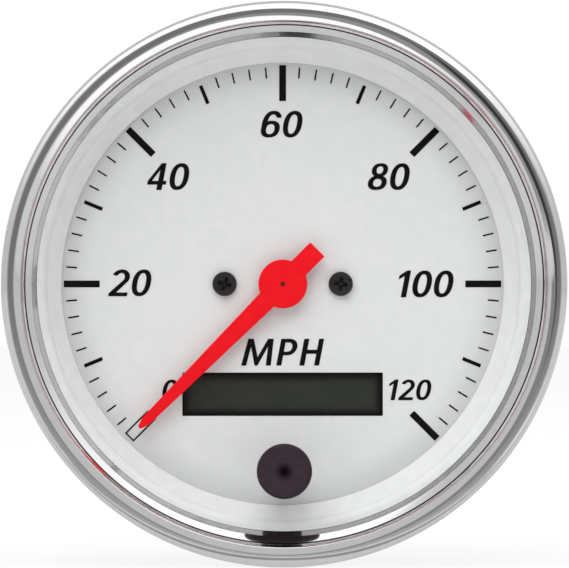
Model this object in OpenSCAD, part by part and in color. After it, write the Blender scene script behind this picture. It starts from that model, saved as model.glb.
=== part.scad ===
// In-dash electric speedometer, 3-3/8 inch class, with a trip window and a push button.
// Frame: +Y runs into the dash, +X to the right and +Z up as the driver sees the dial.
// The origin is on the pointer's axis, in the plane where the bezel meets the panel.

/* [Bezel and glass] */
// How far the bezel stands out beyond the case all round
bezel_overlap = 3.4; // [3.2:0.1:5]
// How far the bezel stands out of the panel
bezel_depth = 12.7; // [11.5:0.1:15]
// Width of the rolled bead
bead_w = 3.8; // [3.4:0.1:4.2]
// Thickness of the bezel's sheet
bezel_sheet = 0.8; // [0.6:0.1:1]
// How far the bezel covers the glass inside the case's radius
throat_inset = 2.4; // [2.2:0.1:2.6]
// Width of the outer part of the slope between the bead and the bezel's inner edge
slope_w = 1.2; // [1:0.1:1.4]
// Angle of the slope's outer part from the dial's plane
slope_turn = 43; // [38:1:48]
// Angle of the slope's inner part from the dial's plane
edge_turn = 50; // [46:1:56]
// How far the wall behind the inner edge is set back from it
edge_overhang = 0.3; // [0.1:0.05:0.5]
// Radius of the bezel's rear edge
bezel_edge_r = 0.8; // [0.5:0.1:0.9]
// Thickness of the bezel's rear lip, which seats on the panel
lip_t = 1; // [0.8:0.1:1.2]
// Gap between the case and the bezel's rear lip
lip_gap = 0.9; // [0.85:0.05:1.2]
// Thickness of the glass
lens_t = 2.2; // [1.6:0.1:2.4]
// Thickness of the rubber gasket
gasket_t = 0.8; // [0.5:0.1:1.2]

/* [Case] */
// Diameter of the case, which fills the hole in the panel
case_d = 85.2; // [84.6:0.1:85.6]
// Depth of the case behind the panel
case_depth = 51; // [50:0.5:60]
// Thickness of the case's sheet
case_wall = 0.8; // [0.6:0.1:1]
// Radius of the case's rear edge
case_edge_r = 2; // [1.5:0.1:3]
// Distance between the mounting studs
stud_pitch = 38.1; // [36:0.1:40]
// Diameter of the mounting studs
stud_d = 4.826; // [4.4:0.01:5]
// Length of a stud outside the case
stud_len = 25; // [22:0.5:30]

/* [Dial] */
// Distance of the dial's face behind the panel plane
dial_y = 2; // [1.6:0.1:2.4]
// Thickness of the dial plate
dial_t = 1; // [0.8:0.1:1.2]
// Width of the white ring, from the case's radius to the dial in view
ring_w = 6.3; // [5.8:0.1:6.5]
// Width of the ring's slope, from its front lip to the dial
ring_slope_w = 2.3; // [2:0.1:2.6]
// Height of the ring's upright edge above the dial
ring_edge_h = 1.2; // [0.8:0.1:1.6]
// Radius of the rounded lip
ring_lip_r = 1.3; // [1:0.1:1.5]
// Thickness of the print on the dial
print_t = 0.05; // [0.03:0.01:0.1]
// Speed at full scale
top_speed = 120; // [120]
// Sweep of the scale in degrees
sweep = 270; // [270]
// Gap between the ring and the long marks
major_inset = 0.4; // [0.2:0.1:1]
// Length of the long marks
major_len = 5.9; // [5:0.1:6.5]
// Width of the long marks
major_w = 1.12; // [0.9:0.01:1.3]
// Gap between the ring and the middle marks
medium_inset = 1.1; // [0.5:0.1:2]
// Length of the middle marks
medium_len = 3.2; // [2.5:0.1:4]
// Width of the middle marks
medium_w = 0.6; // [0.5:0.01:0.8]
// Gap between the ring and the short marks
minor_inset = 0.7; // [0.2:0.1:1]
// Length of the short marks
minor_len = 1.8; // [1.4:0.1:2.4]
// Width of the short marks
minor_w = 0.26; // [0.2:0.01:0.4]
// Width of the outlined mark at zero
zero_w = 2; // [1.6:0.1:2.4]
// Length of the outlined mark at zero
zero_len = 5.3; // [4.5:0.1:5.6]
// Width of that outline's line
zero_line = 0.25; // [0.2:0.01:0.4]
// Height of the large numerals
numeral_h = 4.4; // [3.8:0.1:4.5]
// Height of the two small numerals beside the window
small_numeral_h = 3.4; // [2.8:0.1:3.6]
// Gap between the window's line and a small numeral
small_numeral_gap = 0.52; // [0.4:0.02:0.8]
// Height of the unit's letters
unit_h = 4.4; // [4:0.1:4.6]

/* [Pointer] */
// Diameter of the pointer's hub
hub_d = 8; // [7:0.1:9]
// Thickness of the pointer
pointer_t = 0.8; // [0.6:0.1:1]
// Gap between the pointer and the heads of the dial screws
pointer_gap = 0.3; // [0.3:0.05:0.5]
// Gap between the pointer's tip and the ring
pointer_inset = 3; // [2.3:0.1:4]
// Width of the pointer at the hub
arm_w = 3.5; // [3:0.1:4]
// Width of the pointer near its tip
arm_tip_w = 1.6; // [1.2:0.1:2]
// Width of the blunt tip itself
tip_w = 0.55; // [0.3:0.05:0.8]
// Length over which the arm narrows to its tip
tip_taper = 1.5; // [1:0.1:2.5]
// Distance from the axis to the end of the tail
tail_reach = 8; // [7:0.1:9]
// Width of the tail
tail_w = 3.3; // [3:0.1:3.6]
// Diameter of the spindle
spindle_d = 1; // [0.8:0.05:1.2]
// Radial clearance of the spindle in its bearings
spindle_fit = 0.05; // [0.02:0.01:0.08]

/* [Trip window and button] */
// Width of the window
window_w = 32.3; // [30:0.1:34]
// Height of the window
window_h = 6.5; // [5.5:0.1:7.5]
// Height of the window's centre below the axis, in parts of the dial's radius in view
window_place = 0.4986; // [0.49:0.001:0.51]
// Width of the black line round the window
window_line = 0.3; // [0.2:0.05:0.5]
// Diameter of the push button
button_d = 9; // [8:0.1:9.6]
// Distance from the button's centre to the ring
button_inset = 5.9; // [5.5:0.1:6.5]
// Distance from the bezel's front back to the button's face
button_setback = 1; // [0.6:0.1:2.5]
// Thickness of the button's head
button_head_t = 1.6; // [1.4:0.1:2]
// Radius of the button's neck, which passes through the glass
button_neck_r = 2.4; // [2.35:0.05:2.8]
// Depth of the shallow dish in the button's face
dish_depth = 0.25; // [0.1:0.05:0.4]
// Radius of the button's front edge
button_edge_r = 0.7; // [0.4:0.1:1]
// Travel of the button
button_travel = 1; // [0.6:0.1:1]
// Gap round the button's neck in the glass
button_gap = 0.25; // [0.2:0.05:0.4]

/* [Movement and boards] */
// Distance between the two dial screws
dial_screw_pitch = 19.05; // [18.6:0.05:20]
// Diameter of a dial screw's head
screw_head_d = 4; // [3.6:0.1:4.4]
// Height of a dial screw's head
screw_head_h = 1.3; // [1:0.1:1.4]
// Diameter of a dial screw's thread
screw_d = 2; // [1.6:0.1:2.2]
// Width of the bobbin's core
core_w = 14; // [13:0.2:14.4]
// Length of the bobbin's core along the spindle
core_len = 12; // [11:0.2:13]
// Thickness of a coil's winding
winding_t = 1.3; // [1:0.1:1.4]
// Diameter of the magnet
magnet_d = 11.6; // [10:0.1:12]
// Thickness of the magnet
magnet_t = 4.8; // [4:0.1:5]
// Thickness of the circuit boards
board_t = 1.6; // [1:0.1:2]
// Distance from the main board's front to the inside of the case's back
board_setback = 16.2; // [14.4:0.2:17.2]
// Distance from the case's radius to the centres of the case screws
post_inset = 6.54; // [6.3:0.1:7]
// Direction of the case screws, in degrees above and below the horizontal
post_angle = 33.69; // [31:1:36]
// Diameter of a capacitor
capacitor_d = 8; // [6:0.5:8]
// Distance of a capacitor's centre from the axis, across the case
capacitor_x = 20; // [19:0.5:21]
// Height of a capacitor's centre above the axis
capacitor_z = 13; // [12:0.5:14]
// Length of the driver chip
chip_l = 12; // [10:1:14]
// Width of the driver chip
chip_w = 9; // [6:1:9]
// Thickness of the driver chip
chip_t = 2; // [1.4:0.1:2.4]
// Distance of the driver chip's centre from the axis
chip_x = 21.5; // [20:0.5:22]
// Width of the voltage regulator
regulator_w = 10; // [8:0.5:10]
// Thickness of the regulator's body
regulator_t = 4.5; // [3.5:0.1:4.6]
// Thickness of the regulator's metal tab
regulator_tab_t = 1.3; // [1:0.1:1.4]
// Gap between the regulator and the axis
regulator_x = 22; // [21:0.5:23]
// Space between the board's tall pieces and the case's back
headroom = 2.6; // [2.4:0.1:5]

/* [Rear fittings] */
// Distance between the lamps
lamp_pitch = 26; // [24:0.5:30]
// Height of the lamps above the axis
lamp_rise = 24; // [23:0.5:25]
// Diameter of a lamp holder's barrel
lamp_barrel_d = 11; // [10:0.1:11.6]
// Number of blade terminals
blade_count = 5; // [2:1:5]
// Distance between neighbouring blades
blade_pitch = 8; // [7:0.1:8.5]
// Width of a blade
blade_w = 6.3; // [4.8:0.1:6.3]
// Thickness of a blade
blade_t = 0.8; // [0.5:0.1:0.8]
// Length of a blade outside its block
blade_len = 8; // [7:0.1:9]
// Height of the terminals' row, below the axis
blade_drop = 24; // [23:0.5:25]
// Width of the clamp's strap
strap_w = 19; // [17:0.5:20]
// Thickness of the strap
strap_t = 1.5; // [1.2:0.1:1.6]
// Gap between the case and the strap's legs
strap_gap = 1.2; // [1.1:0.1:1.4]
// Thickness of the panel that the clamp grips when drawn
panel_t = 3; // [2.5:0.1:4]
// Gap between the case's back and the strap
strap_rise = 9; // [8:0.5:11]
// Size of the clamp nuts across their flats
nut_af = 9.5; // [9:0.1:10]
// Height of a clamp nut
nut_h = 3.2; // [2.8:0.1:4]
// Thickness of a lock washer
washer_t = 1.2; // [0.8:0.1:1.4]

/* [Hidden] */
$fn = 96;
// Clearance between pieces that lie loosely together
slack = 0.1;
// Clearance round a screw, pin or stud that passes through a plate
hole_gap = 0.2;
// Clearance of a thread in its hole, drawn as plain cylinders
thread_gap = 0.02;
// Radial running clearance of a nut on its stud
nut_gap = 0.05;
// Clearance between the edges of plates, rims and rings
edge_gap = 0.25;
// Overlap of shapes that make up one piece
lap = 0.05;
// How far a cutting shape reaches past what it cuts
past = 1;

case_r = case_d / 2;
case_in = case_r - case_wall;
bezel_r = case_r + bezel_overlap;
skirt_in = bezel_r - bezel_sheet;
throat_r = case_r - throat_inset;
bead_r = bead_w / 2;
bead_c = bezel_r - bead_r;
bead_y = -bezel_depth + bead_r;
crease_r = bead_c - bead_r;
kink_r = crease_r - slope_w;
kink_y = bead_y + slope_w * tan(slope_turn);
edge_y = kink_y + (kink_r - throat_r) * tan(edge_turn);
wall_r = throat_r + edge_overhang;
lip_y = -lip_t;
flange_y = lip_y - case_wall;
lens_back = flange_y - gasket_t;
lens_front = lens_back - lens_t;

lip_r = case_r + lip_gap;
flange_r = skirt_in - slack;
back_in = case_depth - case_wall;

dial_back = dial_y + dial_t;
ring_front = lens_back + slack;
ring_r = case_in - hole_gap;
dial_r = ring_r - slack;
dial_view_r = case_r - ring_w;
ring_lip_in = dial_view_r + ring_slope_w;
major_out = dial_view_r - major_inset;
medium_out = dial_view_r - medium_inset;
minor_out = dial_view_r - minor_inset;
pointer_reach = dial_view_r - pointer_inset;
window_drop = dial_view_r * window_place;
button_drop = dial_view_r - button_inset;
print_y = dial_y - print_t;

frame_t = 1.4;
frame_back = dial_back + frame_t;
frame_r = dial_r;
frame_rim_t = 1;
frame_rim_h = 8;
frame_rim_back = frame_back + frame_rim_h;

screw_x = dial_screw_pitch / 2;
screw_r = screw_d / 2;
screw_top = dial_y - screw_head_h;
pointer_back = screw_top - pointer_gap;
pointer_front = pointer_back - pointer_t;
spindle_r = spindle_d / 2;
spindle_tip_r = 0.3;
bearing_r = spindle_r + spindle_fit;
bush_r = 1.5;

plate_t = 1.6;
plate_back = frame_back + plate_t;
coil_gap = 0.05;
outer_front = plate_back + coil_gap;
inner_front = outer_front + winding_t + coil_gap;
core_front = inner_front + winding_t + coil_gap;
core_half = core_w / 2;
core_mid = core_front + core_len / 2;
core_back = core_front + core_len;
inner_back = core_back + coil_gap + winding_t;
outer_back = inner_back + coil_gap + winding_t;
rear_plate = outer_back + coil_gap;
rear_plate_back = rear_plate + plate_t;
cavity_r = magnet_d / 2 + 4 * slack;
cavity_len = magnet_t + 12 * slack;
hub_tube_r = 1.8;
coil_split = hub_tube_r + 3 * slack;
coil_band = core_half - coil_split - 4 * slack;
boss_r = 2;
boss_len = 6;
boss_back = plate_back + boss_len;
shield_in = screw_x + boss_r + 5 * slack;
shield_t = 0.8;
shield_r = shield_in + shield_t;
shield_back = rear_plate_back + slack + shield_t;
pin_at = 4;
pin_r = 0.4;

pin_out = 1.2;
cell_margin = 1;
cell_ledge = 1.4;
cell_h = window_h + 2 * cell_ledge;
cell_w = window_w + 2 * cell_margin;
cell_t = 2.4;
cell_front = dial_back + slack;
cell_back = cell_front + cell_t;
connector_t = 1.2;
connector_len = 5;
light_h = cell_h - 2 * connector_t - 6 * slack;
light_t = 3;
display_y = cell_back + connector_len;
display_t = 1.2;
display_back = display_y + display_t;
display_w = 44;
display_top = -shield_r - 6 * slack;
display_r = frame_r - frame_rim_t - 8 * slack;
display_boss_r = 2.2;
display_screw_r = 1;
display_screw_len = 5;
display_head_r = 1.9;
display_head_h = 1.2;
display_screw_x = display_w / 2 - display_boss_r - 3 * slack;
display_screw_z = -window_drop - cell_h / 2 - display_boss_r - 17 * slack;
cable_w = 12;
cable_t = 0.6;
cable_z = -window_drop - cell_h / 4;

button_r = button_d / 2;
dish_r = 40;
spring_room = 1.8;
button_front = -bezel_depth + button_setback;
head_back = button_front + button_head_t;
neck_back = dial_y - spring_room - button_travel;
stem_r = 1.6;
stem_hole_r = stem_r + 3 * slack;
stem_tail = 0.8;
clip_t = 0.6;
clip_r = 3;
clip_slot = 1.8;
clip_front = frame_back + slack;
stem_back = clip_front + clip_t + stem_tail;
switch_w = 6;
switch_t = 3.5;
switch_front = display_y - switch_t;
switch_floor = 0.4;
plunger_r = 1.7;
plunger_len = 1.8;
plunger_back = stem_back + plunger_len;
spring_wire_r = 0.18;
spring_r = 2.15;
spring_turns = 3;

board_y = back_in - board_setback;
board_back = board_y + board_t;
board_gap = 2.8;
board_r = case_in - board_gap;
tall_back = back_in - headroom;
regulator_shoulder = 4;
post_x = (case_r - post_inset) * cos(post_angle);
post_z = (case_r - post_inset) * sin(post_angle);
post_r = 3;
case_screw_r = 1.4;
case_screw_head_r = 2.8;
case_screw_head_h = 1.8;
thread_depth = 8;
standoff_r = 2.6;

lamp_x = lamp_pitch / 2;
lamp_barrel_r = lamp_barrel_d / 2;
lamp_flange_w = 2;
lamp_flange_r = lamp_barrel_r + lamp_flange_w;
lamp_flange_t = 2.5;
lamp_grip_h = 4;
lamp_grip_t = 3;
lamp_window_r = lamp_barrel_r + 1;
lamp_depth = 11;
lamp_lug_w = 3;
lamp_lug_out = 1.6;
lamp_lug_t = 1.4;
bulb_r = 4.2;
bulb_neck_r = 2.9;
bulb_seat = 3;
bulb_len = 15;

blade_slot = 0.05;
block_t = 3;
block_edge_r = 1.5;
block_back = case_depth + block_t;
block_w = blade_count * blade_pitch;
block_h = blade_w + 3.7;
opening_w = block_w - 4;
opening_h = blade_w + 1.5;
blade_back = block_back + blade_len;
blade_chamfer = 1.2;
blade_hole_r = 0.9;
blade_hole_inset = 3.4;
tail_width = 2.4;
tail_out = 1;
shoulder_inset = 6;
blade_shoulder = back_in - shoulder_inset;

stud_x = stud_pitch / 2;
stud_r = stud_d / 2;
stud_head_r = 4;
stud_head_t = 2;
leg_in = case_r + strap_gap;
web_front = case_depth + strap_rise;
web_back = web_front + strap_t;
washer_back = web_back + washer_t;
nut_back = washer_back + nut_h;
washer_r = 4.2;
washer_split = 0.8;
bend_r = 3;

// A cylinder along Y
module rod(r, y0, y1, x = 0, z = 0)
    translate([x, y0, z]) rotate([-90, 0, 0]) cylinder(r = r, h = y1 - y0);

// A tube along Y
module tube(r_out, r_in, y0, y1, x = 0, z = 0)
    difference() {
        rod(r_out, y0, y1, x, z);
        rod(r_in, y0 - past, y1 + past, x, z);
    }

// A profile drawn as [radius, y], turned about an axis along Y
module lathe(x = 0, z = 0)
    translate([x, 0, z]) rotate([-90, 0, 0]) rotate_extrude() children();

// A shape drawn as [x, z], as seen from the front, made solid from y0 to y1
module slab(y0, y1)
    translate([0, y1, 0]) rotate([90, 0, 0]) linear_extrude(y1 - y0) children();

// A box between two corners
module block(low, high) translate(low) cube(high - low);

// A rectangle between two corners
module patch(low, high) translate(low) square(high - low);

// A rectangle with round corners, centred
module round_patch(w, h, r) {
    square([w - 2 * r, h], center = true);
    square([w, h - 2 * r], center = true);
    for (x = [-1, 1], y = [-1, 1])
        translate([x * (w / 2 - r), y * (h / 2 - r)]) circle(r = r);
}

module both_sides(x) for (side = [-1, 1]) translate([side * x, 0, 0]) children();

module four_posts() for (x = [-1, 1], z = [-1, 1]) translate([x * post_x, 0, z * post_z]) children();

// Lettering. A glyph is drawn upright in a square of height 1 and then leans to the right.
lean = 0.19;
letter_gap = 0.1;
glyph_widths = [["0", 0.7], ["1", 0.48], ["2", 0.7], ["4", 0.7], ["6", 0.7], ["8", 0.7],
    ["M", 1.11], ["P", 0.66], ["H", 0.74]];
function glyph_width(c) = glyph_widths[search([c], glyph_widths)[0]][1];
function oval(c, r, n = 2.3, steps = 32) = [
    for (i = [0 : steps - 1])
        let (a = 360 * i / steps, u = cos(a), v = sin(a))
        [c[0] + r[0] * sign(u) * pow(abs(u), 2 / n), c[1] + r[1] * sign(v) * pow(abs(v), 2 / n)]
];
function arc(c, r, a0, a1, steps = 14) = [
    for (i = [0 : steps]) let (a = a0 + (a1 - a0) * i / steps) [c[0] + r[0] * cos(a), c[1] + r[1] * sin(a)]
];

module leaning(points) polygon([for (p = points) [p[0] + lean * p[1], p[1]]]);

module bowl(c, r_out, r_in)
    difference() {
        leaning(oval(c, r_out));
        leaning(oval(c, r_in));
    }

module glyph_zero() bowl([0.35, 0.5], [0.35, 0.5], [0.155, 0.36]);

module glyph_one() leaning([[0.22, 0], [0.22, 0.79], [0.02, 0.66], [0.02, 0.81], [0.27, 1], [0.42, 1], [0.42, 0]]);

module glyph_two()
    leaning(concat(
        arc([0.34, 0.70], [0.34, 0.30], 160, -28), [[0.27, 0.14], [0.70, 0.14], [0.70, 0], [0, 0], [0, 0.12]],
        arc([0.34, 0.70], [0.145, 0.165], -35, 160)));

module glyph_four()
    difference() {
        leaning([[0.38, 0], [0.38, 0.2], [0, 0.2], [0, 0.33], [0.40, 1], [0.58, 1], [0.58, 0.34], [0.7, 0.34],
            [0.7, 0.2], [0.58, 0.2], [0.58, 0]]);
        leaning([[0.16, 0.34], [0.39, 0.34], [0.39, 0.74]]);
    }

module glyph_six() {
    bowl([0.35, 0.315], [0.35, 0.315], [0.155, 0.185]);
    intersection() {
        bowl([0.37, 0.5], [0.37, 0.5], [0.175, 0.36]);
        leaning([[-0.1, 0.3], [0.15, 0.3], [0.3, 0.74], [0.68, 0.74], [0.68, 1.1], [-0.1, 1.1]]);
    }
}

module glyph_eight() {
    bowl([0.36, 0.745], [0.30, 0.255], [0.12, 0.135]);
    bowl([0.35, 0.27], [0.35, 0.27], [0.155, 0.145]);
}

module glyph_m()
    leaning([[0, 0], [0.08, 1], [0.29, 1], [0.555, 0.32], [0.82, 1], [1.03, 1], [1.11, 0], [0.92, 0],
        [0.87, 0.70], [0.61, 0], [0.50, 0], [0.24, 0.70], [0.19, 0]]);

module glyph_p()
    difference() {
        leaning(concat([[0, 0], [0, 1], [0.34, 1]], arc([0.34, 0.69], [0.32, 0.31], 90, -90),
            [[0.19, 0.38], [0.19, 0]]));
        leaning(concat([[0.19, 0.86], [0.33, 0.86]], arc([0.33, 0.69], [0.14, 0.17], 90, -90), [[0.19, 0.52]]));
    }

module glyph_h()
    leaning([[0, 0], [0, 1], [0.19, 1], [0.19, 0.59], [0.55, 0.59], [0.55, 1], [0.74, 1], [0.74, 0],
        [0.55, 0], [0.55, 0.44], [0.19, 0.44], [0.19, 0]]);

module glyph(c) {
    if (c == "0") glyph_zero();
    if (c == "1") glyph_one();
    if (c == "2") glyph_two();
    if (c == "4") glyph_four();
    if (c == "6") glyph_six();
    if (c == "8") glyph_eight();
    if (c == "M") glyph_m();
    if (c == "P") glyph_p();
    if (c == "H") glyph_h();
}

function word_start(word, i, gap) = i == 0 ? 0 : word_start(word, i - 1, gap) + glyph_width(word[i - 1]) + gap;

function word_width(word, gap = letter_gap) =
    word_start(word, len(word) - 1, gap) + glyph_width(word[len(word) - 1]) + lean;

// A word of the given height; x and z give its centre, in parts of the dial's radius in view
module word(text_in, x, z, height, gap = letter_gap)
    translate([x * dial_view_r, z * dial_view_r]) scale(height) translate([-word_width(text_in, gap) / 2, -0.5])
        for (i = [0 : len(text_in) - 1]) translate([word_start(text_in, i, gap), 0]) glyph(text_in[i]);

// Place of a small numeral beside the window, in parts of the dial's radius in view
function beside_window(word) =
    (window_w / 2 + window_line + small_numeral_gap + small_numeral_h * word_width(word) / 2) / dial_view_r;

// Direction of a speed on the dial, in degrees from +X towards +Z
function speed_angle(v) = 90 + sweep / 2 - sweep * v / top_speed;

module mark(v, r_out, length, w) rotate(speed_angle(v)) translate([r_out - length, -w / 2]) square([length, w]);

// What is cut away to round a convex corner; side points from the corner into the shape
module corner_cut(corner, side, r)
    translate(corner) mirror([side[0] < 0 ? 1 : 0, 0]) mirror([0, side[1] < 0 ? 1 : 0])
    difference() {
        patch([-past, -past], [r, r]);
        translate([r, r]) circle(r = r);
    }

// Half of a disc's section, drawn as [radius, y], with a round front edge
module disc_profile(r, front, back, edge)
    difference() {
        patch([0, front], [r, back]);
        corner_cut([r, front], [-1, 1], edge);
    }

module bezel_profile() {
    hollow_r = bead_r - bezel_sheet;
    web_back = bead_y + bezel_sheet / cos(slope_turn);
    difference() {
        union() {
            translate([bead_c, bead_y]) circle(r = bead_r);
            polygon([[bead_c, bead_y], [bezel_r, bead_y], [bezel_r, 0], [lip_r, 0], [lip_r, lip_y - lap],
                [bead_c, lip_y - lap]]);
            polygon([[crease_r, bead_y], [bead_c, bead_y], [bead_c, web_back], [crease_r, web_back],
                [wall_r + bezel_sheet, edge_y], [wall_r + bezel_sheet, lens_front], [wall_r, lens_front],
                [throat_r, edge_y], [kink_r, kink_y]]);
        }
        translate([bead_c, bead_y]) circle(r = hollow_r);
        patch([bead_c - hollow_r, bead_y], [skirt_in, lip_y]);
        corner_cut([bezel_r, 0], [-1, -1], bezel_edge_r);
    }
}

module bezel() color("#d8dadc") lathe() bezel_profile();

module lens()
    color("#dfe8ea", 0.25)
    difference() {
        rod(skirt_in - 4 * slack, lens_front, lens_back);
        rod(button_neck_r + button_gap, lens_front - past, lens_back + past, 0, -button_drop);
    }

module lens_gasket() color("#202020") tube(skirt_in - 3 * slack, case_in + hole_gap, lens_back, flange_y);

module spacer_ring()
    color("#e6e7e8")
    lathe()
    difference() {
        polygon([[ring_lip_in, ring_front], [ring_lip_in, ring_front + ring_lip_r],
            [dial_view_r, dial_y - ring_edge_h], [dial_view_r, dial_y], [ring_r, dial_y], [ring_r, ring_front]]);
        corner_cut([ring_lip_in, ring_front], [1, 1], ring_lip_r);
    }

module dial_plate()
    color("#d9dada")
    difference() {
        rod(dial_r, dial_y, dial_back);
        rod(hub_tube_r, dial_y - past, dial_back + past);
        both_sides(screw_x) rod(screw_r + hole_gap, dial_y - past, dial_back + past);
        rod(stem_hole_r, dial_y - past, dial_back + past, 0, -button_drop);
        slab(dial_y - past, dial_back + past)
            translate([0, -window_drop]) square([window_w, window_h], center = true);
    }

module scale_marks()
    color("#151013")
    slab(print_y, dial_y) {
        for (v = [20 : 20 : top_speed]) mark(v, major_out, major_len, major_w);
        for (v = [10 : 20 : top_speed - 10]) mark(v, medium_out, medium_len, medium_w);
        for (v = [2 : 2 : top_speed - 2]) if (v % 10 != 0) mark(v, minor_out, minor_len, minor_w);
        difference() {
            mark(0, minor_out, zero_len, zero_w);
            mark(0, minor_out - zero_line, zero_len - 2 * zero_line, zero_w - 2 * zero_line);
        }
    }

module numerals()
    color("#151013")
    slab(print_y, dial_y) {
        word("20", -0.686, 0.005, numeral_h);
        word("40", -0.515, 0.485, numeral_h);
        word("60", -0.003, 0.722, numeral_h);
        word("80", 0.482, 0.485, numeral_h);
        word("100", 0.645, 0, numeral_h);
        word("120", beside_window("120"), -0.479, small_numeral_h);
        word("0", -beside_window("0"), -0.479, small_numeral_h);
    }

module unit_legend() color("#151013") slab(print_y, dial_y) word("MPH", 0, -0.3085, unit_h, 0.2);

module window_border()
    color("#151013")
    slab(print_y, dial_y)
    translate([0, -window_drop])
    difference() {
        square([window_w + 2 * window_line, window_h + 2 * window_line], center = true);
        square([window_w, window_h], center = true);
    }

// A pan head with a crossed recess, its underside at y_seat and its face towards -Y
module crosshead(head_r, head_h, y_seat) {
    slot_l = head_r * 1.05;
    slot_w = head_r * 0.275;
    difference() {
        lathe() disc_profile(head_r, y_seat - head_h, y_seat, head_h * 0.45);
        slab(y_seat - head_h - past, y_seat - head_h * 0.4) {
            square([slot_l, slot_w], center = true);
            square([slot_w, slot_l], center = true);
        }
    }
}

module dial_screws()
    color("#1a1518")
    both_sides(screw_x) {
        rotate([0, 20, 0]) crosshead(screw_head_d / 2, screw_head_h, dial_y);
        rod(screw_r, dial_y - slack, boss_back - 10 * slack);
    }

module pointer_outline() {
    arm_end = pointer_reach - tip_taper;
    difference() {
        union() {
            circle(r = hub_d / 2);
            polygon([[-bush_r, -arm_w / 2], [arm_end, -arm_tip_w / 2], [pointer_reach, -tip_w / 2],
                [pointer_reach, tip_w / 2], [arm_end, arm_tip_w / 2], [-bush_r, arm_w / 2]]);
            patch([-tail_reach, -tail_w / 2], [bush_r, tail_w / 2]);
        }
        circle(r = spindle_tip_r + thread_gap);
    }
}

module pointer() color("#ee1c25") slab(pointer_front, pointer_back) rotate(speed_angle(0)) pointer_outline();

module pointer_bush() color("#b08d3e") tube(bush_r, spindle_r + thread_gap, pointer_back, dial_y - slack);

module spindle()
    color("#a9abad") {
        rod(spindle_tip_r, pointer_front - slack, pointer_back + slack);
        rod(spindle_r, pointer_back, rear_plate - slack);
    }

module magnet_rotor()
    color("#4b4d50")
    tube(magnet_d / 2, spindle_r + thread_gap, core_mid - magnet_t / 2, core_mid + magnet_t / 2);

module trip_button()
    color("#241c20")
    translate([0, 0, -button_drop]) {
        difference() {
            lathe() disc_profile(button_r, button_front, head_back, button_edge_r);
            translate([0, button_front - dish_r + dish_depth, 0]) sphere(r = dish_r);
        }
        rod(button_neck_r, head_back - slack, neck_back);
        rod(stem_r, neck_back - slack, stem_back);
    }

module stem_clip()
    color("#8f9396")
    translate([0, 0, -button_drop])
    difference() {
        tube(clip_r, stem_r + thread_gap, clip_front, clip_front + clip_t);
        block([-clip_slot / 2, clip_front - past, -clip_r - past], [clip_slot / 2, clip_front + clip_t + past, 0]);
    }

module switch_plunger() color("#2b2b2b") rod(plunger_r, stem_back, plunger_back, 0, -button_drop);

// Points of a closed tube of six sides wound as an open coil about Y
function coil_rings(r, wire, y0, y1, turns, per_turn) = [
    for (i = [0 : turns * per_turn], j = [0 : 5])
        let (a = 360 * i / per_turn, b = 60 * j, y = y0 + (y1 - y0) * i / (turns * per_turn),
            q = r + wire * cos(b))
        [q * cos(a), y + wire * sin(b), q * sin(a)]
];
function coil_faces(last) = concat(
    [[0, 1, 2, 3, 4, 5]],
    [for (i = [0 : last - 1], j = [0 : 5]) let (a = 6 * i, k = (j + 1) % 6) [a + j, a + 6 + j, a + 6 + k]],
    [for (i = [0 : last - 1], j = [0 : 5]) let (a = 6 * i, k = (j + 1) % 6) [a + j, a + 6 + k, a + k]],
    [[for (j = [5 : -1 : 0]) 6 * last + j]]
);

module trip_spring() {
    per_turn = 24;
    y0 = neck_back + spring_wire_r + thread_gap;
    y1 = dial_y - spring_wire_r - thread_gap;
    color("#9aa0a4")
    translate([0, 0, -button_drop])
    polyhedron(coil_rings(spring_r, spring_wire_r, y0, y1, spring_turns, per_turn),
        coil_faces(spring_turns * per_turn));
}

module trip_switch()
    color("#3a3a3c")
    translate([0, 0, -button_drop])
    difference() {
        block([-switch_w / 2, switch_front, -switch_w / 2], [switch_w / 2, display_y, switch_w / 2]);
        rod(plunger_r + slack, switch_front - past, display_y - switch_floor);
    }

module lcd_cell()
    color("#383834")
    slab(cell_front, cell_back) translate([0, -window_drop]) square([cell_w, cell_h], center = true);

module lcd_backlight()
    color("#cfe3c8")
    slab(cell_back, cell_back + light_t) translate([0, -window_drop]) square([cell_w - cell_margin, light_h], center = true);

module lcd_connectors()
    color("#d67a9a")
    slab(cell_back, display_y)
    for (side = [-1, 1])
        translate([0, -window_drop + side * (cell_h - connector_t) / 2])
            square([cell_w - cell_margin, connector_t], center = true);

module display_board()
    color("#1f6b3a")
    difference() {
        slab(display_y, display_back)
            intersection() {
                circle(r = display_r);
                patch([-display_w / 2, -display_r], [display_w / 2, display_top]);
            }
        both_sides(display_screw_x)
            rod(display_screw_r + hole_gap, display_y - past, display_back + past, 0, display_screw_z);
    }

module display_screws()
    color("#8f9396")
    both_sides(display_screw_x) {
        rod(display_head_r, display_back, display_back + display_head_h, 0, display_screw_z);
        rod(display_screw_r, display_back - display_screw_len, display_back + slack, 0, display_screw_z);
    }

module display_cable() color("#c9c2ae") block([-cable_w / 2, display_back, cable_z], [cable_w / 2, board_y, cable_z + cable_t]);

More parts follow.
